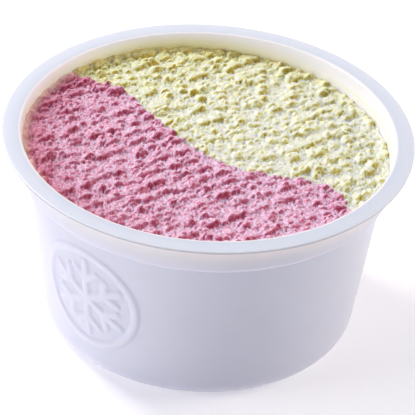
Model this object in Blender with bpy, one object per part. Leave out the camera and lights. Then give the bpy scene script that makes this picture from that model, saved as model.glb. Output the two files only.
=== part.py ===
"""Gelato cup: a moulded plastic tub with a flat rim, filled with two flavours of gelato.

The cup stands on the origin, its axis is +Z, and the S-shaped seam between the flavours
runs from the back left to the front right, with the pink half in front.
"""

import math

import bmesh
import bpy
from mathutils import Vector, noise

MM = 0.001

# Cup, outside
RIM_RADIUS = 40.0 * MM
CUP_HEIGHT = 41.0 * MM
FLANGE_THICKNESS = 0.6 * MM
FLANGE_EDGE_ROUND = 0.22 * MM
COLLAR_TOP_RADIUS = 37.3 * MM
COLLAR_FOOT_RADIUS = 36.6 * MM
COLLAR_FOOT_HEIGHT = 33.9 * MM
WALL_TOP_RADIUS = 35.0 * MM
WALL_TOP_HEIGHT = 33.2 * MM
FOOT_RADIUS = 31.1 * MM
FOOT_ROUND = 3.0 * MM

# Cup, inside
MOUTH_RADIUS = 36.3 * MM
MOUTH_ROUND = 0.35 * MM
WALL_THICKNESS = 0.8 * MM
COLLAR_THICKNESS = 1.3 * MM
FLOOR_ROUND = 2.4 * MM

# Cup, underside
RECESS_RADIUS = 25.0 * MM
RECESS_DEPTH = 0.7 * MM
RECESS_SLOPE = 0.6 * MM
GATE_RADIUS = 1.5 * MM
GATE_HEIGHT = 0.35 * MM
CUP_STEPS = 72

# Gelato
FILL_HEIGHT = 37.45 * MM
FILL_SLOPE = -0.026
GAP = 0.3 * MM
TOP_RINGS = 20
FURROW_PITCH = 5.2 * MM
FURROW_DEPTH = 0.7 * MM
FURROW_HEADING = math.radians(38.0)
LUMP_SIZE = 4.0 * MM
LUMP_HEIGHT = 0.9 * MM
EDGE_DIP = 0.35 * MM

# Seam between the flavours, in millimetres from the cup's axis, back left to front right
SEAM_KNOTS_MM = [
    (-46.0, 30.0),
    (-28.5, 22.0),
    (-17.5, 17.3),
    (-9.5, 7.2),
    (0.5, -3.5),
    (10.5, -7.4),
    (20.0, -8.6),
    (25.8, -11.8),
    (28.6, -20.5),
    (33.0, -32.0),
    (38.0, -44.0),
]
SEAM_POINTS_PER_KNOT = 5

# Colours, linear
PLASTIC_COLOUR = (0.80, 0.80, 0.86, 1.0)
PINK_COLOUR = (0.66, 0.28, 0.34, 1.0)
YELLOW_COLOUR = (0.84, 0.80, 0.47, 1.0)


def clear_scene():
    for old in list(bpy.data.objects):
        bpy.data.objects.remove(old, do_unlink=True)


def material(name, colour, roughness):
    made = bpy.data.materials.new(name)
    made.use_nodes = True
    shader = made.node_tree.nodes["Principled BSDF"]
    shader.inputs["Base Color"].default_value = colour
    shader.inputs["Roughness"].default_value = roughness
    shader.inputs["Metallic"].default_value = 0.0
    return made


def add_object(name, mesh, surface=None):
    made = bpy.data.objects.new(name, mesh)
    bpy.context.scene.collection.objects.link(made)
    if surface is not None:
        mesh.materials.append(surface)
    return made


def rounded_path(corners):
    """Points along a path of (radius, height, rounding, steps) corners, each corner turned to an arc."""
    path = []
    for index, (radius, height, rounding, steps) in enumerate(corners):
        here = Vector((radius, height))
        if rounding == 0.0:
            path.append(here)
            continue
        back = (Vector(corners[index - 1][:2]) - here).normalized()
        ahead = (Vector(corners[index + 1][:2]) - here).normalized()
        half_angle = back.angle(ahead) / 2
        reach = rounding / math.tan(half_angle)
        centre = here + (back + ahead).normalized() * (rounding / math.sin(half_angle))
        start = here + back * reach - centre
        end = here + ahead * reach - centre
        sweep = start.angle(end)
        for step in range(steps + 1):
            share = step / steps
            arm = start * math.sin((1 - share) * sweep) + end * math.sin(share * sweep)
            path.append(centre + arm / math.sin(sweep))
    return path


def inside_corners():
    """The inner wall as (radius, height) corners: top of the tapered wall, stacking ledge, mouth."""
    lift = WALL_THICKNESS * 0.95
    return [
        (WALL_TOP_RADIUS - WALL_THICKNESS, WALL_TOP_HEIGHT + lift),
        (COLLAR_FOOT_RADIUS - COLLAR_THICKNESS, COLLAR_FOOT_HEIGHT + lift),
        (MOUTH_RADIUS, CUP_HEIGHT),
    ]


def inside_radius(height):
    """Radius of the cup's inner wall at a height above its floor's rounding."""
    (wall_r, wall_z), (foot_r, foot_z), (mouth_r, mouth_z) = inside_corners()
    if height > foot_z:
        return foot_r + (mouth_r - foot_r) * (height - foot_z) / (mouth_z - foot_z)
    taper = (WALL_TOP_RADIUS - FOOT_RADIUS) / WALL_TOP_HEIGHT
    return wall_r - taper * (wall_z - height)


def cup_corners():
    """The cup's section, from the middle of the floor up the inside, over the rim and down the outside."""
    floor = RECESS_DEPTH + WALL_THICKNESS
    wall_top, ledge_edge, mouth = inside_corners()
    return [
        (0.0, floor, 0.0, 0),
        (inside_radius(floor), floor, FLOOR_ROUND, 4),
        (*wall_top, 0.0, 0),
        (*ledge_edge, 0.0, 0),
        (*mouth, MOUTH_ROUND, 3),
        (RIM_RADIUS, CUP_HEIGHT, FLANGE_EDGE_ROUND, 2),
        (RIM_RADIUS, CUP_HEIGHT - FLANGE_THICKNESS, FLANGE_EDGE_ROUND, 2),
        (COLLAR_TOP_RADIUS, CUP_HEIGHT - FLANGE_THICKNESS, 0.6 * MM, 2),
        (COLLAR_FOOT_RADIUS, COLLAR_FOOT_HEIGHT, 0.5 * MM, 2),
        (WALL_TOP_RADIUS, WALL_TOP_HEIGHT, 0.5 * MM, 1),
        (FOOT_RADIUS, 0.0, FOOT_ROUND, 5),
        (RECESS_RADIUS, 0.0, 0.0, 0),
        (RECESS_RADIUS - RECESS_SLOPE, RECESS_DEPTH, 0.0, 0),
        (GATE_RADIUS, RECESS_DEPTH, 0.0, 0),
        (GATE_RADIUS * 0.6, RECESS_DEPTH - GATE_HEIGHT, 0.0, 0),
        (0.0, RECESS_DEPTH - GATE_HEIGHT, 0.0, 0),
    ]


def turned(name, path, steps, surface):
    """A solid of revolution about Z from a section path that starts and ends on the axis."""
    mesh = bpy.data.meshes.new(name)
    points = [(point.x, 0.0, point.y) for point in path]
    edges = [(index, index + 1) for index in range(len(points) - 1)]
    mesh.from_pydata(points, edges, [])
    made = add_object(name, mesh, surface)
    screw = made.modifiers.new("turn", "SCREW")
    screw.axis = "Z"
    screw.angle = 2 * math.pi
    screw.steps = steps
    screw.render_steps = steps
    screw.use_merge_vertices = True
    screw.merge_threshold = 0.00005
    screw.use_smooth_shade = True
    return made


def surface_height(x, y, share):
    """Height of the scraped top: a slight slope with furrows side by side, broken into lumps. It dips
    at the wall. The share of the way from the axis to the wall is 0 to 1."""
    across = -x * math.sin(FURROW_HEADING) + y * math.cos(FURROW_HEADING)
    along = x * math.cos(FURROW_HEADING) + y * math.sin(FURROW_HEADING)
    wander = noise.noise(Vector((x, y, 0.0)) / (9.0 * MM)) * 0.9
    furrow = math.sin(2 * math.pi * across / FURROW_PITCH + 2.2 * wander)
    spot = Vector((along / 1.6, across, 7.0 * MM)) / LUMP_SIZE
    lump = noise.noise(spot)
    dip = max(0.0, share - 0.9) / 0.1
    rise = 0.5 * FURROW_DEPTH * furrow + LUMP_HEIGHT * lump
    return FILL_HEIGHT + FILL_SLOPE * x + rise * (1 - 0.6 * dip) - EDGE_DIP * dip * dip


def directions(count):
    turn = 2 * math.pi / count
    return [(math.cos(turn * i), math.sin(turn * i)) for i in range(count)]


def gelato_mesh(name):
    """The whole fill: an uneven top of rings that each hold six more points, then the side and bottom."""
    form = bmesh.new()
    inner = [form.verts.new((0.0, 0.0, surface_height(0.0, 0.0, 0.0)))]
    for ring in range(1, TOP_RINGS + 1):
        share = ring / TOP_RINGS
        outer = []
        for cosine, sine in directions(6 * ring):
            edge = inside_radius(FILL_HEIGHT + FILL_SLOPE * MOUTH_RADIUS * cosine) - GAP
            x, y = share * edge * cosine, share * edge * sine
            outer.append(form.verts.new((x, y, surface_height(x, y, share))))
        for sector in range(6):
            for step in range(ring):
                first = outer[sector * ring + step]
                second = outer[(sector * ring + step + 1) % (6 * ring)]
                base = (sector * (ring - 1) + step) % len(inner)
                form.faces.new((first, second, inner[base]))
                if step < ring - 1:
                    beside = (base + 1) % len(inner)
                    form.faces.new((inner[base], second, inner[beside]))
        inner = outer
    floor = RECESS_DEPTH + WALL_THICKNESS + GAP
    (wall_radius, wall_height), (ledge_radius, ledge_height), _ = inside_corners()
    side = rounded_path([
        (inside_radius(FILL_HEIGHT) - GAP, FILL_HEIGHT, 0.0, 0),
        (ledge_radius - GAP, ledge_height + GAP, 0.0, 0),
        (wall_radius - GAP, wall_height + GAP, 0.0, 0),
        (inside_radius(floor) - GAP, floor, FLOOR_ROUND, 3),
        (0.0, floor, 0.0, 0),
    ])
    for point in side[1:-1]:
        lower = []
        for cosine, sine in directions(len(inner)):
            lower.append(form.verts.new((point.x * cosine, point.x * sine, point.y)))
        for i, top in enumerate(inner):
            beside = (i + 1) % len(inner)
            form.faces.new((top, lower[i], lower[beside], inner[beside]))
        inner = lower
    form.faces.new(list(reversed(inner)))
    bmesh.ops.recalc_face_normals(form, faces=form.faces)
    mesh = bpy.data.meshes.new(name)
    form.to_mesh(mesh)
    form.free()
    return mesh


def seam_path(shift):
    """A smooth line through the seam's knots, moved sideways by shift."""
    knots = [Vector(knot) * MM for knot in SEAM_KNOTS_MM]
    path = []
    for i in range(1, len(knots) - 2):
        before, start, end, after = knots[i - 1 : i + 3]
        for step in range(SEAM_POINTS_PER_KNOT):
            t = step / SEAM_POINTS_PER_KNOT
            curve = 2 * start + (end - before) * t
            curve += (2 * before - 5 * start + 4 * end - after) * t * t
            curve += (3 * start - before - 3 * end + after) * t * t * t
            slope = (end - before) + (2 * before - 5 * start + 4 * end - after) * 2 * t
            slope += (3 * start - before - 3 * end + after) * 3 * t * t
            sideways = Vector((-slope.y, slope.x)).normalized()
            path.append(curve / 2 + sideways * shift)
    return [knots[0]] + path + [knots[-1]]


def seam_cutter(name, shift, corners):
    """A tall block with the seam as one side. It takes away the other flavour's half."""
    form = bmesh.new()
    outline = seam_path(shift) + [Vector(corner) for corner in corners]
    base = form.faces.new([form.verts.new((p.x, p.y, -5 * MM)) for p in outline])
    grown = bmesh.ops.extrude_face_region(form, geom=[base])
    raised = [item for item in grown["geom"] if isinstance(item, bmesh.types.BMVert)]
    bmesh.ops.translate(form, verts=raised, vec=(0.0, 0.0, 55 * MM))
    bmesh.ops.triangulate(form, faces=form.faces)
    bmesh.ops.recalc_face_normals(form, faces=form.faces)
    mesh = bpy.data.meshes.new(name)
    form.to_mesh(mesh)
    form.free()
    cutter = add_object(name, mesh)
    cutter.hide_render = True
    cutter.display_type = "WIRE"
    return cutter


def gelato_half(name, surface, cutter):
    mesh = gelato_mesh(name)
    made = add_object(name, mesh, surface)
    cut = made.modifiers.new("seam", "BOOLEAN")
    cut.operation = "DIFFERENCE"
    cut.object = cutter
    return made


def build():
    clear_scene()
    plastic = material("polypropylene", PLASTIC_COLOUR, 0.35)
    pink = material("pink gelato", PINK_COLOUR, 0.6)
    yellow = material("yellow gelato", YELLOW_COLOUR, 0.6)

    turned("cup", rounded_path(cup_corners()), CUP_STEPS, plastic)

    far = 60 * MM
    front = seam_cutter("front_cutter", 0.5 * GAP, [(far, -far), (-far, -far), (-far, far / 2)])
    back = seam_cutter("back_cutter", -0.5 * GAP, [(far, -far), (far, far), (-far, far)])
    gelato_half("pink_gelato", pink, back)
    gelato_half("yellow_gelato", yellow, front)


build()
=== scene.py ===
"""Gelato cup: a moulded tub with a flat rim, filled with pink and pale yellow gelato.

Everything is in metres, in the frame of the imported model: the cup stands on the origin.
"""

import math

import bmesh
import bpy
import numpy as np
from mathutils import Matrix, Vector


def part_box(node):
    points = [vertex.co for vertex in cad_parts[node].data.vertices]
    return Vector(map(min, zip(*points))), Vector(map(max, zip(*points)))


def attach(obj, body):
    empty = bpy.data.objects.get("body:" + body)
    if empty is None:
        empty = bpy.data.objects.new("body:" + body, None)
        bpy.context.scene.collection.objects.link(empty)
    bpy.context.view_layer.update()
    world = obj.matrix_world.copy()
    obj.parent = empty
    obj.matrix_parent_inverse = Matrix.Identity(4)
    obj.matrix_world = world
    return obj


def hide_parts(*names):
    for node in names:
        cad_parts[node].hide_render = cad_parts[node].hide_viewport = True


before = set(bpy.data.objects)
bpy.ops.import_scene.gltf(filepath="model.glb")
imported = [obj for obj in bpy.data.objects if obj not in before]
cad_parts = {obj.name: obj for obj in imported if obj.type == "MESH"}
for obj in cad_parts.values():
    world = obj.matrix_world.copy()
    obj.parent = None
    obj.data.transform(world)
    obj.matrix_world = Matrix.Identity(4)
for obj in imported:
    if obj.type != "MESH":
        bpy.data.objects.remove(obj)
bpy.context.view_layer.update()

# ---------------------------------------------------------------------------------------
# Cup: a thin-walled tub in one shot of natural white polypropylene, injection moulded, with
# a flat sealing rim, a flared collar over a stacking step and a tapered wall. A snowflake in
# a ring stands proud of the wall on two opposite sides, cut into the mould.

MM = 0.001
HAIR = 0.01 * MM

cup_low, cup_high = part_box("cup")
RIM_RADIUS = (cup_high[0] - cup_low[0]) / 2
CUP_HEIGHT = cup_high[2] - cup_low[2]
FLANGE_THICKNESS = 0.6 * MM
FLANGE_EDGE_ROUND = 0.24 * MM
COLLAR_TOP_RADIUS = 37.3 * MM
COLLAR_TOP_ROUND = 0.6 * MM
COLLAR_FOOT_RADIUS = 36.6 * MM
COLLAR_FOOT_HEIGHT = 33.9 * MM
COLLAR_FOOT_ROUND = 0.8 * MM
WALL_TOP_RADIUS = 35.0 * MM
WALL_TOP_HEIGHT = 33.2 * MM
WALL_TOP_ROUND = 0.5 * MM
FOOT_RADIUS = 31.1 * MM
FOOT_ROUND = 3.0 * MM
MOUTH_RADIUS = 36.3 * MM
MOUTH_ROUND = 0.35 * MM
WALL = 0.8 * MM
LEDGE_LIFT = 0.95 * WALL
COLLAR_THICKNESS = 1.3 * MM
FLOOR_ROUND = 2.4 * MM
REST_RING_WIDTH = 2.9 * MM
RECESS_RADIUS = 25.0 * MM
RECESS_DEPTH = 0.7 * MM
RECESS_SLOPE = 0.6 * MM
RECESS_EDGE_ROUND = 0.25 * MM
GATE_RADIUS = 1.5 * MM
GATE_TOP_RADIUS = 0.6 * GATE_RADIUS
GATE_HEIGHT = 0.35 * MM
GATE_FOOT_ROUND = 0.2 * MM
GATE_TOP_ROUND = 0.15 * MM

EMBLEM_AZIMUTHS = (math.radians(-129.0), math.radians(51.0))
EMBLEM_HEIGHT = 18.3 * MM
EMBLEM_RADIUS = 11.0 * MM
EMBLEM_RIDGE = 1.05 * MM
EMBLEM_RISE = 0.34 * MM
EMBLEM_ARMS = 6
ARM_REACH = 0.80 * EMBLEM_RADIUS
BRANCH_FOOT = 0.42 * EMBLEM_RADIUS
BRANCH_LENGTH = 0.30 * EMBLEM_RADIUS
BRANCH_TURN = math.radians(52.0)

# The fill's level at the cup's axis and its slight slope towards +X. Melt is smeared on the
# wall above it, with a painted glow of the gelato's colour, and a thin dried line where the
# gelato first stood.
FILL_HEIGHT = 37.45 * MM
FILL_SLOPE = -0.026
SMEAR_AND_GLOW_REACH = 3.0 * MM
DRIED_LINE_HEIGHT = 1.3 * MM
DRIED_LINE_WIDTH = 0.2 * MM


def rounded_section(corners, spacing):
    """Points along a path of (radius, height, rounding, steps) corners, each turned to an arc,
    with more points filled in where two are further apart than the spacing."""
    points = []
    for index, (radius, height, rounding, steps) in enumerate(corners):
        here = Vector((radius, height))
        if rounding == 0.0:
            points.append(here)
            continue
        back = (Vector(corners[index - 1][:2]) - here).normalized()
        ahead = (Vector(corners[index + 1][:2]) - here).normalized()
        half_angle = back.angle(ahead) / 2
        centre = here + (back + ahead).normalized() * (rounding / math.sin(half_angle))
        reach = rounding / math.tan(half_angle)
        start, end = here + back * reach - centre, here + ahead * reach - centre
        sweep = start.angle(end)
        for step in range(steps + 1):
            share = step / steps
            arm = start * math.sin((1 - share) * sweep) + end * math.sin(share * sweep)
            points.append(centre + arm / math.sin(sweep))
    filled = [points[0]]
    for point in points[1:]:
        last = filled[-1]
        parts = max(1, math.ceil((point - last).length / spacing))
        filled += [last.lerp(point, part / parts) for part in range(1, parts + 1)]
    return np.array([(point.x, point.y) for point in filled])


def distance_to_stroke(u, v, start, end):
    """Distance in the wall's own plane from points (u, v) to the stroke from start to end."""
    (a, b), (c, d) = start, end
    length2 = (c - a) ** 2 + (d - b) ** 2
    share = np.clip(((u - a) * (c - a) + (v - b) * (d - b)) / length2, 0.0, 1.0)
    return np.hypot(u - a - share * (c - a), v - b - share * (d - b))


def emblem_rise(u, v):
    """Height of the raised snowflake and its ring, u along the wall and v up it."""
    nearest = np.abs(np.hypot(u, v) - EMBLEM_RADIUS)
    for arm in range(EMBLEM_ARMS):
        angle = math.radians(90.0 + 360.0 / EMBLEM_ARMS * arm)
        along = (math.cos(angle), math.sin(angle))
        tip = (ARM_REACH * along[0], ARM_REACH * along[1])
        nearest = np.minimum(nearest, distance_to_stroke(u, v, (0.0, 0.0), tip))
        foot = (BRANCH_FOOT * along[0], BRANCH_FOOT * along[1])
        for side in (-1.0, 1.0):
            turn = angle + side * BRANCH_TURN
            end = (foot[0] + BRANCH_LENGTH * math.cos(turn), foot[1] + BRANCH_LENGTH * math.sin(turn))
            nearest = np.minimum(nearest, distance_to_stroke(u, v, foot, end))
    fall = np.clip(1.0 - (nearest / EMBLEM_RIDGE) ** 2, 0.0, 1.0)
    return EMBLEM_RISE * fall * fall * (3.0 - 2.0 * fall)


def solid_from(name, points, quads, caps):
    """One smooth mesh object from an array of points, an array of quads and a list of caps."""
    mesh = bpy.data.meshes.new(name)
    faces = quads.tolist() + caps
    mesh.from_pydata(points.tolist(), [], faces)
    mesh.polygons.foreach_set("use_smooth", np.ones(len(faces), dtype=bool))
    mesh.update()
    made = bpy.data.objects.new(name, mesh)
    bpy.context.scene.collection.objects.link(made)
    return made


# The inside follows the outside, with a ledge that sits a wall's thickness above the step.
floor_height = RECESS_DEPTH + WALL
wall_taper = (WALL_TOP_RADIUS - FOOT_RADIUS) / WALL_TOP_HEIGHT
inner_wall_top = (WALL_TOP_RADIUS - WALL, WALL_TOP_HEIGHT + LEDGE_LIFT)
inner_ledge = (COLLAR_FOOT_RADIUS - COLLAR_THICKNESS, COLLAR_FOOT_HEIGHT + LEDGE_LIFT)


def inside_radius(height):
    """Radius of the cup's inner wall at a height, above the rounding of its floor."""
    wall = inner_wall_top[0] - wall_taper * (inner_wall_top[1] - height)
    steps = [inner_wall_top[1], inner_ledge[1], CUP_HEIGHT]
    ledge = np.interp(height, steps, [inner_wall_top[0], inner_ledge[0], MOUTH_RADIUS])
    return np.where(np.asarray(height) < inner_wall_top[1], wall, ledge)


# The cup's section runs from the middle of its floor over the rim to the middle of its
# underside. Its points are closest down the wall, so that the snowflake comes out crisp. The
# rim's part runs a short strip down the wall, and the wall's own rows start just below it.
INSIDE_SPACING = 2.5 * MM
RIM_SPACING = 0.35 * MM
WALL_SPACING = 0.29 * MM
UNDER_SPACING = 4.0 * MM
RIM_STRIP = 1.0 * MM
WALL_START = 1.2 * MM

inside = rounded_section([
    (0.0, floor_height, 0.0, 0),
    (float(inside_radius(floor_height)), floor_height, FLOOR_ROUND, 6),
    (*inner_wall_top, 0.0, 0),
    (*inner_ledge, 0.0, 0),
], INSIDE_SPACING)
rim = rounded_section([
    (*inner_ledge, 0.0, 0),
    (MOUTH_RADIUS, CUP_HEIGHT, MOUTH_ROUND, 6),
    (RIM_RADIUS, CUP_HEIGHT, FLANGE_EDGE_ROUND, 5),
    (RIM_RADIUS, CUP_HEIGHT - FLANGE_THICKNESS, FLANGE_EDGE_ROUND, 5),
    (COLLAR_TOP_RADIUS, CUP_HEIGHT - FLANGE_THICKNESS, COLLAR_TOP_ROUND, 5),
    (COLLAR_FOOT_RADIUS, COLLAR_FOOT_HEIGHT, COLLAR_FOOT_ROUND, 6),
    (WALL_TOP_RADIUS, WALL_TOP_HEIGHT, WALL_TOP_ROUND, 4),
    (WALL_TOP_RADIUS - wall_taper * RIM_STRIP, WALL_TOP_HEIGHT - RIM_STRIP, 0.0, 0),
], RIM_SPACING)
wall_rows = rounded_section([
    (WALL_TOP_RADIUS - wall_taper * WALL_START, WALL_TOP_HEIGHT - WALL_START, 0.0, 0),
    (FOOT_RADIUS, 0.0, FOOT_ROUND, 10),
    (RECESS_RADIUS, 0.0, 0.0, 0),
], WALL_SPACING)
wall_rows = wall_rows[wall_rows[:, 1] > HAIR]
under = rounded_section([
    (RECESS_RADIUS + REST_RING_WIDTH, 0.0, 0.0, 0),
    (RECESS_RADIUS, 0.0, RECESS_EDGE_ROUND, 3),
    (RECESS_RADIUS - RECESS_SLOPE, RECESS_DEPTH, RECESS_EDGE_ROUND, 3),
    (GATE_RADIUS, RECESS_DEPTH, GATE_FOOT_ROUND, 3),
    (GATE_TOP_RADIUS, RECESS_DEPTH - GATE_HEIGHT, GATE_TOP_ROUND, 3),
    (0.0, RECESS_DEPTH - GATE_HEIGHT, 0.0, 0),
], UNDER_SPACING)
section = np.vstack([inside[1:-1], rim, wall_rows, under[:-1]])

# The section is turned round the axis in steps that are fine across a snowflake and coarse
# elsewhere. The snowflake then lifts the wall, and the first and last ring are capped.
FINE_COLUMN = 0.28 * MM
EMBLEM_MARGIN = 1.2 * MM
fine_step = FINE_COLUMN / WALL_TOP_RADIUS
coarse_step = math.radians(1.5)
emblem_reach = (EMBLEM_RADIUS + EMBLEM_MARGIN) / FOOT_RADIUS
azimuths, azimuth = [], -math.pi
while azimuth < math.pi - coarse_step:
    azimuths.append(azimuth)
    near = min(abs(math.remainder(azimuth - middle, 2 * math.pi)) for middle in EMBLEM_AZIMUTHS)
    azimuth += fine_step if near < emblem_reach else coarse_step
azimuths = np.array(azimuths)

radii, azimuth_grid = np.meshgrid(section[:, 0], azimuths, indexing="ij")
heights = np.repeat(section[:, 1][:, None], len(azimuths), axis=1)
first_wall = len(inside) - 2 + len(rim)
on_wall = slice(first_wall, first_wall + len(wall_rows))
emblem_wall_radius = FOOT_RADIUS + wall_taper * EMBLEM_HEIGHT
for middle in EMBLEM_AZIMUTHS:
    turn = np.remainder(azimuth_grid[on_wall] - middle + math.pi, 2 * math.pi) - math.pi
    radii[on_wall] += emblem_rise(turn * emblem_wall_radius, heights[on_wall] - EMBLEM_HEIGHT)
cup_points = np.stack([radii * np.cos(azimuth_grid), radii * np.sin(azimuth_grid), heights], -1)
rows, columns = len(section), len(azimuths)
index = np.arange(rows * columns).reshape(rows, columns)
beside = np.roll(index, -1, axis=1)
cup_quads = np.stack([index[:-1], index[1:], beside[1:], beside[:-1]], -1).reshape(-1, 4)
cup = solid_from("moulded_cup", cup_points.reshape(-1, 3), cup_quads,
                 [index[0].tolist(), index[-1][::-1].tolist()])


def on_the_side_of(degrees, width):
    """From 0 to 1, how near each column of the cup is to a direction, fading over a width."""
    away = np.remainder(azimuth_grid - math.radians(degrees) + math.pi, 2 * math.pi) - math.pi
    return np.clip(1.0 - np.abs(away) / math.radians(width), 0.0, 1.0)


# Where the plastic looks different, and its colour there: cooler on the flange, whiter inside
# as painted light on the inner wall, warmer in the collar as a painted glow, violet in the
# step's shade, grey at the flange's outer edge as painted shade, and above the fill a smear of
# melt with a painted glow of the gelato's colour. It is pink at the left and lemon at the back,
# with the thin dried line at the right.
TINT_EDGE = 0.3 * MM
COLLAR_FADE = 3.0 * MM
STEP_SHADE_WIDTH = 0.5 * MM
EDGE_SHADE_WIDTH = 0.2 * MM
EDGE_SHADE_START = 0.12 * MM
above_fill = heights - FILL_HEIGHT - FILL_SLOPE * radii * np.cos(azimuth_grid)
mouth_row = int(np.argmax(section[:, 0] > MOUTH_RADIUS + MOUTH_ROUND - HAIR))
on_inside = np.repeat(np.arange(rows) < mouth_row, columns).reshape(rows, columns)
fade = np.clip(1.0 - above_fill / SMEAR_AND_GLOW_REACH, 0.0, 1.0) ** 0.8 * on_inside
dried = np.exp(-((above_fill - DRIED_LINE_HEIGHT) / DRIED_LINE_WIDTH) ** 2) * on_inside
lemon_at_back = fade * on_the_side_of(100.0, 60.0) ** 0.6
lemon_at_right = np.maximum(0.15 * fade, 0.8 * dried) * on_the_side_of(15.0, 45.0) ** 0.5
step_height = 0.5 * (COLLAR_FOOT_HEIGHT + WALL_TOP_HEIGHT)
at_step = np.exp(-((heights - step_height) / STEP_SHADE_WIDTH) ** 2)
under_flange = ~on_inside & (heights < CUP_HEIGHT - FLANGE_THICKNESS + HAIR)
up_the_collar = (heights - COLLAR_FOOT_HEIGHT - TINT_EDGE) / COLLAR_FADE
tinted_places = {
    "flange": ("#D3DCE8", (radii > MOUTH_RADIUS + TINT_EDGE) & (heights > CUP_HEIGHT - TINT_EDGE)),
    # Painted light: the inner wall is painted whiter for the light that falls on it.
    "inside painted lighter": ("#FCFBFA", on_inside),
    # Painted glow: the collar under the flange is painted warmer and lighter, fading in up the collar.
    "collar painted glow": ("#E2E1E2", np.clip(up_the_collar, 0, 1) * under_flange),
    "step shade": ("#B9B0C2", 0.7 * at_step * ~on_inside),
    # Partly a smear of melt, partly a painted glow of the gelato's colour, fading up the inner wall.
    "pink smear and painted glow": ("#FFE4CC", fade * on_the_side_of(-168.0, 50.0) ** 0.6),
    "lemon smear and painted glow": ("#F2EDB8", np.maximum(lemon_at_back, lemon_at_right)),
    # Painted shade: the flange's outer edge is painted grey for the shade that lies along it.
    "rim edge painted shade": ("#ABAEB6", (radii > RIM_RADIUS - EDGE_SHADE_WIDTH) & (heights < CUP_HEIGHT - EDGE_SHADE_START)),
}
for name, (colour, amount) in tinted_places.items():
    layer = cup.data.attributes.new(name, "FLOAT", "POINT")
    layer.data.foreach_set("value", amount.reshape(-1).astype(np.float32))


def linear(colour):
    """A Principled colour from an sRGB hex value."""
    channels = [int(colour[start : start + 2], 16) / 255 for start in (1, 3, 5)]
    return [c / 12.92 if c <= 0.04045 else ((c + 0.055) / 1.055) ** 2.4 for c in channels] + [1.0]


# A colour Mix node's sockets go by number: 6 and 7 are its two colours, and output 2 the mix.
def add_node(tree, kind, settings, **links):
    """Adds a node, sets its properties and sockets, and links its inputs to other outputs. A
    link is named for its input with _ for a space, or _ and the input's number."""
    node = tree.nodes.new(kind)
    for name, value in settings.items():
        if name in node.inputs:
            node.inputs[name].default_value = value
        else:
            setattr(node, name, value)
    for name, source in links.items():
        target = node.inputs[int(name[1:])] if name[0] == "_" else node.inputs[name.replace("_", " ")]
        tree.links.new(source, target)
    return node


# Natural polypropylene, as moulded: milky and satin, so thin that the light behind a wall
# glows through it. It is a little cloudy where its thickness varies, about every 7 mm, and the
# mould's polish leaves waves 0.9 mm wide that break its highlights.
CLOUD_SIZE = 7.0 * MM
WAVE_SIZE = 0.9 * MM
polypropylene = bpy.data.materials.new("moulded natural polypropylene")
polypropylene.use_nodes = True
tree = polypropylene.node_tree
tree.nodes.clear()
place = add_node(tree, "ShaderNodeTexCoord", {})
cloud = add_node(tree, "ShaderNodeTexNoise", {"Scale": 1 / CLOUD_SIZE, "Detail": 2.0},
                 Vector=place.outputs["Object"])
tint = add_node(tree, "ShaderNodeMix", {"data_type": "RGBA"}, Factor=cloud.outputs["Fac"])
tint.inputs[6].default_value = linear("#DADAE7")
tint.inputs[7].default_value = linear("#DFDFEC")
for name, (colour, _) in tinted_places.items():
    here = add_node(tree, "ShaderNodeAttribute", {"attribute_name": name})
    tint = add_node(tree, "ShaderNodeMix", {"data_type": "RGBA"}, Factor=here.outputs["Fac"],
                    _6=tint.outputs[2])
    tint.inputs[7].default_value = linear(colour)
waves = add_node(tree, "ShaderNodeTexNoise", {"Scale": 1 / WAVE_SIZE, "Detail": 3.0},
                 Vector=place.outputs["Object"])
gloss = add_node(tree, "ShaderNodeMapRange", {"To Min": 0.30, "To Max": 0.42},
                 Value=waves.outputs["Fac"])
uneven = add_node(tree, "ShaderNodeBump", {"Strength": 0.12, "Distance": 0.03 * MM},
                  Height=waves.outputs["Fac"])
step = add_node(tree, "ShaderNodeAttribute", {"attribute_name": "step shade"})
sheen = add_node(tree, "ShaderNodeMapRange", {"From Max": 0.4, "To Min": 0.5, "To Max": 0.05},
                 Value=step.outputs["Fac"])
shader = add_node(tree, "ShaderNodeBsdfPrincipled",
                  {"IOR": 1.49, "Subsurface Weight": 0.85, "Subsurface Scale": 1.3 * MM,
                   "Subsurface Radius": (1.9, 1.6, 1.4)},
                  Base_Color=tint.outputs[2], Roughness=gloss.outputs["Result"],
                  Normal=uneven.outputs["Normal"], Specular_IOR_Level=sheen.outputs["Result"])
add_node(tree, "ShaderNodeOutputMaterial", {}, Surface=shader.outputs["BSDF"])
cup.data.materials.append(polypropylene)
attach(cup, "root")
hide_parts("cup")

# ---------------------------------------------------------------------------------------
# Gelato: two flavours run side by side into the cup and frozen against each other along an
# S-shaped seam, then struck off level. The blade has torn the top into rows of lumps, with
# beads and icy crumbs between them. Each flavour is one solid that fills its side of the cup.

# A flavour's top is a mesh of fine cells, and its edge is let a little way into the wall.
INTO_WALL = 0.06 * MM
CELL = 0.20 * MM
CELL_STRETCH = 1.12

# What the blade left, with its pitch and its rise: lumps in rows, then beads, grit, crumbs and
# ice. The top is sunk, so that its crests stand about half a millimetre above the fill's level.
ROWS_HEADING = math.radians(38.0)
ROW_PITCH = 3.3 * MM
LUMP_PITCH = 2.7 * MM
LUMP_RISE = 0.95 * MM
BEAD_PITCH = 1.9 * MM
BEAD_RISE = 0.60 * MM
GRIT_PITCH = 1.0 * MM
GRIT_RISE = 0.24 * MM
CRUMB_RISE = 0.10 * MM
ICE_RISE = 0.22 * MM
SUNK = 0.50 * MM

# By the wall the top is calmer and droops. On the shaded side a smooth film climbs the wall;
# its colour is painted light and shade, and the deeper colour near the wall is painted shade. At
# its foot the gelato bends in to the cup's floor.
CALM_WIDTH = 1.2 * MM
EDGE_DROOP = 0.20 * MM
SHADED_SIDE = math.radians(150)
FILM_WIDTH = 1.1 * MM
FILM_RAG = 0.5 * MM
FILM_RISE = 0.5 * MM
FOOT_BEND = 3.0 * MM

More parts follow.
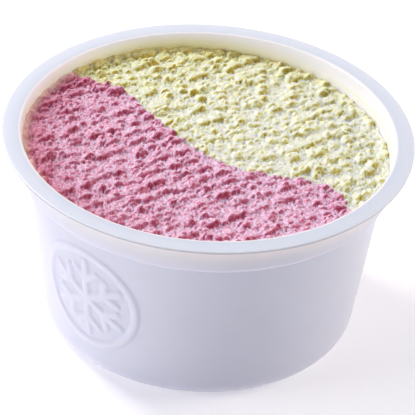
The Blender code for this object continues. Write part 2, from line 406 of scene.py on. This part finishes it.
# The seam: a few points that it runs through, past the wall at both ends, and its raggedness.
SEAM_RAG = 0.45 * MM
SEAM_END_GAP = 0.2 * MM
SEAM_KNOTS_MM = [(-46.0, 30.0), (-28.5, 22.0), (-17.5, 17.3), (-9.5, 7.2), (0.5, -3.5),
                 (10.5, -7.4), (20.0, -8.6), (25.8, -11.8), (28.6, -20.5), (33.0, -32.0),
                 (38.0, -44.0)]


def edge_radius(azimuth):
    """Radius of the sloping fill's edge, let into the wall, in a direction from the axis."""
    level = FILL_HEIGHT + FILL_SLOPE * MOUTH_RADIUS * np.cos(azimuth)
    return inside_radius(level) + INTO_WALL


def uneven_field(x, y, size, seed):
    """A smooth random field from -1 to 1 whose features are about size across."""
    grid = 512
    angles = np.random.default_rng(seed).uniform(0, 2 * math.pi, (grid, grid))
    u, v = x / size, y / size
    i, j = np.floor(u).astype(int), np.floor(v).astype(int)
    f, g = u - i, v - j

    def corner(a, b):
        angle = angles[(i + a) % grid, (j + b) % grid]
        return np.cos(angle) * (f - a) + np.sin(angle) * (g - b)

    ease_f = f * f * f * (f * (f * 6 - 15) + 10)
    ease_g = g * g * g * (g * (g * 6 - 15) + 10)
    low = corner(0, 0) * (1 - ease_f) + corner(1, 0) * ease_f
    high = corner(0, 1) * (1 - ease_f) + corner(1, 1) * ease_f
    return 1.5 * (low * (1 - ease_g) + high * ease_g)


def torn_lumps(along, across, pitch_along, pitch_across, length, stray, seed, chance):
    """Height and torn face, each 0 to 1, of lumps in rows. Each cell of a loose grid has a lump,
    by chance, whose length is in lump widths and whose place strays by a share of the pitch.
    The blade has left each a gentle back and a steep torn face on its near side, so its crest
    stands off its middle."""
    grid = 256
    chosen = np.random.default_rng(seed)
    shift = chosen.uniform(-0.5, 0.5, (grid, grid, 2)) * np.array([0.8, stray])
    size = chosen.uniform(0.55, 1.05, (grid, grid))
    long = chosen.uniform(0.75, 1.35, (grid, grid)) * length
    tall = chosen.uniform(0.4, 1.0, (grid, grid)) * (chosen.uniform(0, 1, (grid, grid)) < chance)
    crest, torn_side, gentle_side = 0.35, 0.5, 1.45
    u, v = along / pitch_along, across / pitch_across
    i, j = np.floor(u).astype(int), np.floor(v).astype(int)
    height, face = np.zeros_like(u), np.zeros_like(u)
    for a in (-1, 0, 1):
        for b in (-1, 0, 1):
            p, q = (i + a) % grid, (j + b) % grid
            du = (u - (i + a) - 0.5 - shift[p, q, 0]) * pitch_along
            dv = (v - (j + b) - 0.5 - shift[p, q, 1]) * pitch_across
            reach = 0.5 * pitch_across * size[p, q]
            back = dv / reach + crest
            back = np.where(back < 0, back / torn_side, back / gentle_side)
            away = (du / (reach * long[p, q])) ** 2 + back * back
            here = tall[p, q] * np.sqrt(np.clip(1 - away, 0, 1))
            torn = tall[p, q] * np.clip(-back, 0, 1) * (away < 1)
            higher = here > height
            height, face = np.where(higher, here, height), np.where(higher, torn, face)
    return height, face


def scraped_top(x, y, lump_length, lump_stray):
    """Height of the scraped top above its level, and how deep its colour is, from 0 to 1: pale
    and icy between the lumps, a little richer on them, and deepest on their torn faces. These
    turn away from the key light, so their depth is partly the gelato's richer colour and partly
    painted shade."""
    # The rows wander from side to side, each lump's outline is ragged, and the top swells.
    along = x * math.cos(ROWS_HEADING) + y * math.sin(ROWS_HEADING)
    across = -x * math.sin(ROWS_HEADING) + y * math.cos(ROWS_HEADING)
    across = across + 0.9 * MM * uneven_field(x, y, 8.0 * MM, 1)
    rag_u = 0.22 * MM * uneven_field(x, y, 0.95 * MM, 2)
    rag_v = 0.20 * MM * uneven_field(x, y, 0.95 * MM, 3)
    swell = 0.20 * MM * uneven_field(x, y, 9.0 * MM, 4)
    lump, face = torn_lumps(along + rag_u, across + rag_v, LUMP_PITCH, ROW_PITCH,
                            lump_length, lump_stray, seed=5, chance=0.85)
    bead, bead_face = torn_lumps(along + rag_v, across + rag_u, BEAD_PITCH, BEAD_PITCH,
                                 length=0.9, stray=0.9, seed=6, chance=0.75)
    grit, grit_face = torn_lumps(along, across, GRIT_PITCH, GRIT_PITCH,
                                 length=1.0, stray=0.9, seed=12, chance=0.6)
    crumb = uneven_field(x, y, 1.1 * MM, 8)
    crumb_fine = uneven_field(x, y, 0.55 * MM, 9)
    ice = uneven_field(x, y, 0.42 * MM, 10)
    between = 1.0 - 0.75 * np.clip(lump + bead, 0, 1)
    rise = (swell + LUMP_RISE * lump + BEAD_RISE * bead + GRIT_RISE * grit + CRUMB_RISE * crumb
            + between * (ICE_RISE * crumb_fine + ICE_RISE * ice))
    # The torn faces turn away from the key light, so their deeper colour is partly painted shade.
    deep = (1.10 * face + 0.80 * bead_face + 0.30 * grit_face + 0.09 * np.clip(lump + bead, 0, 1)
            - between * (0.24 * crumb_fine + 0.28 * ice))
    return rise - SUNK, np.clip(deep, 0, 1)


def seam_line():
    """Points along the seam at the top, from wall to wall, and the run along it to each: a smooth
    Catmull-Rom curve through the knots, made a little ragged."""
    knots = [Vector(knot) * MM for knot in SEAM_KNOTS_MM]
    line = []
    for i in range(1, len(knots) - 2):
        before, start, end, after = knots[i - 1 : i + 3]
        for t in np.linspace(0, 1, 80, endpoint=False):
            curve = 2 * start + (end - before) * t
            curve += (2 * before - 5 * start + 4 * end - after) * t * t
            curve += (3 * start - before - 3 * end + after) * t * t * t
            line.append(curve / 2)
    line = np.array(line)
    rag = SEAM_RAG * uneven_field(line[:, 0], line[:, 1], 1.5 * MM, 11)
    slope = np.gradient(line, axis=0)
    slope /= np.linalg.norm(slope, axis=1)[:, None]
    line = line + np.stack([-slope[:, 1], slope[:, 0]], -1) * rag[:, None]
    edge = edge_radius(np.arctan2(line[:, 1], line[:, 0]))
    line = line[np.hypot(line[:, 0], line[:, 1]) < edge - SEAM_END_GAP]
    ends = []
    for point in (line[0], line[-1]):
        ends.append(point / np.linalg.norm(point) * edge_radius(math.atan2(point[1], point[0])))
    line = np.vstack([ends[0], line, ends[1]])
    run = np.concatenate([[0], np.cumsum(np.linalg.norm(np.diff(line, axis=0), axis=1))])
    return line, run


def spread_flavour(front):
    """A grid of points x, y over one flavour's side, in rows from the seam to the wall."""
    seam, run = seam_line()
    start = math.atan2(seam[0, 1], seam[0, 0])
    end = math.atan2(seam[-1, 1], seam[-1, 0])
    sweep = (end - start) % (2 * math.pi) if front else -((start - end) % (2 * math.pi))
    columns = int((run[-1] + abs(sweep) * MOUTH_RADIUS) / 2 / CELL) + 1
    share = np.linspace(0, 1, columns)
    seam_points = np.stack([np.interp(share * run[-1], run, seam[:, k]) for k in (0, 1)], -1)
    angle = start + sweep * share
    wall_points = edge_radius(angle)[:, None] * np.stack([np.cos(angle), np.sin(angle)], -1)
    widest = np.linalg.norm(wall_points - seam_points, axis=1).max()
    rows = int(widest / CELL / CELL_STRETCH) + 1
    across = np.linspace(0, 1, rows)[:, None]
    x, y = [seam_points[:, k] * (1 - across) + wall_points[:, k] * across for k in (0, 1)]
    return x, y


def settled_by_wall(x, y, rise, deep, depth_in_light):
    """The top's height and depth of colour as they change towards the wall and out of the
    light, and how much of the film lies on each point, from 0 to 1. The deeper colour out of the
    light and near the wall is painted shade."""
    direction = np.arctan2(y, x)
    inwards = edge_radius(direction) - np.hypot(x, y)
    calm = np.clip(inwards / CALM_WIDTH, 0, 1)
    rise = rise * (0.45 + 0.55 * calm) - EDGE_DROOP * (1 - calm) ** 2
    # Painted shade: the colour deepens on the side that the wall shades and more near the wall, and
    # depth_in_light pales it on the lit side, as painted light.
    shaded = np.clip(0.5 + 0.8 * np.cos(direction - SHADED_SIDE), 0, 1)
    deep = deep * (depth_in_light + (1 - depth_in_light) * shaded)
    near_wall = 0.28 * np.exp(-inwards / (2.2 * MM)) + 0.14 * np.exp(-inwards / (12 * MM))
    deep = np.clip(deep + shaded * near_wall, 0, 1)
    film_width = FILM_WIDTH + FILM_RAG * uneven_field(x, y, 1.3 * MM, 13)
    film = shaded * np.exp(-(inwards / film_width) ** 2)
    return rise + FILM_RISE * film, deep, film


def gelato_solid(name, front, lump_length, lump_stray, depth_in_light):
    """One flavour: its torn top between the seam and the wall, carried down to the floor."""
    x, y = spread_flavour(front)
    rise, deep = scraped_top(x, y, lump_length, lump_stray)
    rise, deep, film = settled_by_wall(x, y, rise, deep, depth_in_light)
    top = np.stack([x, y, FILL_HEIGHT + FILL_SLOPE * x + rise], -1).reshape(-1, 3)
    index = np.arange(x.size).reshape(x.shape)
    quads = np.stack([index[:-1, :-1], index[:-1, 1:], index[1:, 1:], index[1:, :-1]], -1)
    quads = quads.reshape(-1, 4)
    ring = np.concatenate([index[0], index[1:-1, -1], index[-1, ::-1], index[-2:0:-1, 0]])
    moved = np.any(np.diff(top[ring, :2], axis=0) != 0, axis=1)
    ring = ring[np.concatenate([[True], moved])]
    outline, points, count = top[ring], [top], len(top)
    outline_edge = edge_radius(np.arctan2(outline[:, 1], outline[:, 0]))
    lower_rings = [
        (FILL_HEIGHT - 2.2 * MM, 0.0),
        (inner_ledge[1], 0.0),
        (inner_wall_top[1], 0.0),
        (floor_height + FOOT_BEND, 0.0),
        (floor_height + 0.3 * FOOT_BEND, 0.23 * FOOT_BEND),
        (floor_height + 0.1 * FOOT_BEND, 0.47 * FOOT_BEND),
        (floor_height - 2 * HAIR, 0.8 * FOOT_BEND),
    ]
    for height, inset in lower_rings:
        scale = (inside_radius(height) + INTO_WALL - inset) / outline_edge
        lower = np.column_stack([outline[:, :2] * scale[:, None], np.full(len(ring), height)])
        lower_ring = np.arange(count, count + len(ring))
        points.append(lower)
        side = np.stack([ring, lower_ring, np.roll(lower_ring, -1), np.roll(ring, -1)], -1)
        quads = np.concatenate([quads, side])
        ring, count = lower_ring, count + len(ring)
    made = solid_from(name, np.concatenate(points), quads, [ring.tolist()])
    for layer_name, on_top in (("deep colour and painted shade", deep), ("film with painted light and shade", film)):
        values = np.zeros(count, dtype=np.float32)
        values[: len(top)] = on_top.reshape(-1)
        layer = made.data.attributes.new(layer_name, "FLOAT", "POINT")
        layer.data.foreach_set("value", values)
    welded = bmesh.new()
    welded.from_mesh(made.data)
    bmesh.ops.remove_doubles(welded, verts=welded.verts, dist=0.001 * MM)
    bmesh.ops.recalc_face_normals(welded, faces=welded.faces)
    welded.to_mesh(made.data)
    welded.free()
    return made


# Ice crystals in gelato are about 0.04 mm, too fine to show, so they are drawn as clusters of
# 0.5 mm, in the colour and in the bump.
CRYSTAL_CLUSTER = 0.5 * MM


def frozen_gelato(name, pale, flesh, deep, frost, film, glow, milkiness):
    """Churned gelato, frozen and scraped: pale and frosty where the blade left it flat, richer
    on the lumps and deepest on their torn faces, damp, with a grain of ice crystals that glint.
    The deep colour is partly painted shade, the grain's pits are partly painted shade, and the
    film's colour is painted light and shade."""
    made = bpy.data.materials.new(name)
    made.use_nodes = True
    tree = made.node_tree
    tree.nodes.clear()
    place = add_node(tree, "ShaderNodeTexCoord", {})
    # The deep colour carries painted shade as well as the gelato's richer colour.
    torn = add_node(tree, "ShaderNodeAttribute", {"attribute_name": "deep colour and painted shade"})
    shade = add_node(tree, "ShaderNodeValToRGB", {}, Fac=torn.outputs["Fac"])
    ramp = shade.color_ramp
    ramp.elements[0].position = 0.02
    ramp.elements[0].color = linear(pale)
    ramp.elements[1].position = 0.75
    ramp.elements[1].color = linear(deep)
    ramp.elements.new(0.25).color = linear(flesh)
    crystals = add_node(tree, "ShaderNodeTexNoise", {"Scale": 1 / CRYSTAL_CLUSTER, "Detail": 3.0},
                        Vector=place.outputs["Object"])
    icy = add_node(tree, "ShaderNodeMapRange",
                   {"From Min": 0.46, "From Max": 0.58, "To Min": 0.0, "To Max": 0.9},
                   Value=crystals.outputs["Fac"])
    pale_only = add_node(tree, "ShaderNodeMapRange",
                         {"From Min": 0.0, "From Max": 0.35, "To Min": 1.0, "To Max": 0.0},
                         Value=torn.outputs["Fac"])
    frosted = add_node(tree, "ShaderNodeMath", {"operation": "MULTIPLY"},
                       _0=icy.outputs["Result"], _1=pale_only.outputs["Result"])
    colour = add_node(tree, "ShaderNodeMix", {"data_type": "RGBA"}, Factor=frosted.outputs[0],
                      _6=shade.outputs["Color"])
    colour.inputs[7].default_value = linear(frost)
    # In the grain's pits, where the bump sinks, the colour goes to the flesh colour: partly the gelato's
    # own, partly painted shade.
    pits_shaded = add_node(tree, "ShaderNodeMapRange",
                     {"From Min": 0.46, "From Max": 0.34, "To Min": 0.0, "To Max": 0.55},
                     Value=crystals.outputs["Fac"])
    colour = add_node(tree, "ShaderNodeMix", {"data_type": "RGBA"}, Factor=pits_shaded.outputs["Result"],
                      _6=colour.outputs[2])
    colour.inputs[7].default_value = linear(flesh)
    # The film's colour is painted light and shade: the wall's shade on it and the glow through the wall.
    thin = add_node(tree, "ShaderNodeAttribute", {"attribute_name": "film with painted light and shade"})
    colour = add_node(tree, "ShaderNodeMix", {"data_type": "RGBA"}, Factor=thin.outputs["Fac"],
                      _6=colour.outputs[2])
    colour.inputs[7].default_value = linear(film)
    wetness = add_node(tree, "ShaderNodeMapRange", {"To Min": 0.62, "To Max": 0.34},
                       Value=crystals.outputs["Fac"])
    grain = add_node(tree, "ShaderNodeBump", {"Strength": 0.6, "Distance": 0.12 * MM},
                     Height=crystals.outputs["Fac"])
    shader = add_node(tree, "ShaderNodeBsdfPrincipled",
                      {"IOR": 1.35, "Subsurface Weight": milkiness, "Subsurface Scale": 0.6 * MM,
                       "Subsurface Radius": glow},
                      Base_Color=colour.outputs[2], Roughness=wetness.outputs["Result"],
                      Normal=grain.outputs["Normal"])
    add_node(tree, "ShaderNodeOutputMaterial", {}, Surface=shader.outputs["BSDF"])
    return made


pink = gelato_solid("strawberry_gelato", front=True, lump_length=1.15, lump_stray=0.35,
                    depth_in_light=1.0)
pink.data.materials.append(frozen_gelato(
    "frozen strawberry gelato", pale="#F3C0D8", flesh="#D7829F", deep="#AA3957",
    frost="#F8E9FB", film="#FFD4C6", glow=(1.0, 0.5, 0.55), milkiness=0.25))
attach(pink, "root")
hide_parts("pink_gelato")

yellow = gelato_solid("lemon_gelato", front=False, lump_length=1.0, lump_stray=0.6,
                      depth_in_light=0.85)
yellow.data.materials.append(frozen_gelato(
    "frozen lemon gelato", pale="#F3F5E4", flesh="#E8E8AF", deep="#C1A936",
    frost="#F6FAF3", film="#EBD68C", glow=(1.0, 0.95, 0.6), milkiness=1.0))
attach(yellow, "root")
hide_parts("yellow_gelato")

# ---------------------------------------------------------------------------------------
# Stage: a white paper floor under soft studio light, with the key high behind the cup's left
# side, so that it rakes the gelato and leaves the front of the wall in pale shade.

PAPER_HALF = 1500 * MM
paper_corners = [(x * PAPER_HALF, y * PAPER_HALF, 0) for x, y in ((-1, -1), (1, -1), (1, 1), (-1, 1))]
floor_mesh = bpy.data.meshes.new("floor")
floor_mesh.from_pydata(paper_corners, [], [(0, 1, 2, 3)])
floor = bpy.data.objects.new("floor", floor_mesh)
bpy.context.scene.collection.objects.link(floor)

# White background paper, uncoated, so it is matt all over. A little glow of its own stands in
# for the light from below that keeps a studio floor white.
paper = bpy.data.materials.new("white background paper")
paper.use_nodes = True
paper_shader = paper.node_tree.nodes["Principled BSDF"]
paper_shader.inputs["Base Color"].default_value = linear("#FBFBFC")
paper_shader.inputs["Roughness"].default_value = 0.9
paper_shader.inputs["Emission Color"].default_value = linear("#FFFDF8")
paper_shader.inputs["Emission Strength"].default_value = 0.27
floor_mesh.materials.append(paper)

# Each lamp stands a metre away and faces a point just below the cup's rim.
LAMP_DISTANCE = 1000 * MM
LAMPS_FACE_HEIGHT = 30.0 * MM


def softbox(name, azimuth, elevation, size, power, colour):
    """A square softbox that faces the cup. Its direction is in degrees and its power in watts."""
    lamp = bpy.data.lights.new(name, "AREA")
    lamp.size = size
    lamp.energy = power
    lamp.color = linear(colour)[:3]
    made = bpy.data.objects.new(name, lamp)
    bpy.context.scene.collection.objects.link(made)
    around, up = math.radians(azimuth), math.radians(elevation)
    towards = Vector((math.cos(up) * math.cos(around), math.cos(up) * math.sin(around), math.sin(up)))
    made.location = towards * LAMP_DISTANCE + Vector((0, 0, LAMPS_FACE_HEIGHT))
    made.rotation_euler = towards.to_track_quat("Z", "Y").to_euler()


softbox("key", azimuth=138.0, elevation=44.0, size=300 * MM, power=6.2, colour="#FFFCF7")
softbox("overhead", azimuth=60.0, elevation=82.0, size=800 * MM, power=1.3, colour="#FFFFFF")
softbox("left_fill", azimuth=-166.0, elevation=16.0, size=500 * MM, power=4.7, colour="#FBF8FF")
softbox("right_fill", azimuth=12.0, elevation=24.0, size=500 * MM, power=4.7, colour="#FFF5E8")

world = bpy.data.worlds.new("studio")
bpy.context.scene.world = world
world.use_nodes = True
world.node_tree.nodes["Background"].inputs["Color"].default_value = linear("#D8D9FA")
world.node_tree.nodes["Background"].inputs["Strength"].default_value = 0.25

# The camera stands in front of the cup, looks down on it through a long lens, and is held a
# little rolled.
ELEVATION = math.radians(34.93)
ROLL = math.radians(3.98)
DISTANCE = 520 * MM
AIM_ASIDE = 0.79 * MM
AIM_BELOW_RIM = 18.07 * MM
lens = bpy.data.cameras.new("camera")
lens.sensor_width = 36.0
lens.lens = 228.5
lens.clip_start = 50 * MM
camera = bpy.data.objects.new("camera", lens)
bpy.context.scene.collection.objects.link(camera)
aim = Vector((AIM_ASIDE, 0.0, CUP_HEIGHT - AIM_BELOW_RIM))
back = Vector((0.0, -math.cos(ELEVATION), math.sin(ELEVATION)))
right = Vector((1.0, 0.0, 0.0))
up = back.cross(right)
rolled_right = right * math.cos(ROLL) + up * math.sin(ROLL)
rolled_up = up * math.cos(ROLL) - right * math.sin(ROLL)
turned = Matrix((rolled_right, rolled_up, back)).transposed().to_4x4()
camera.matrix_world = Matrix.Translation(aim + back * DISTANCE) @ turned
bpy.context.scene.camera = camera
bpy.context.scene.view_settings.view_transform = "Standard"
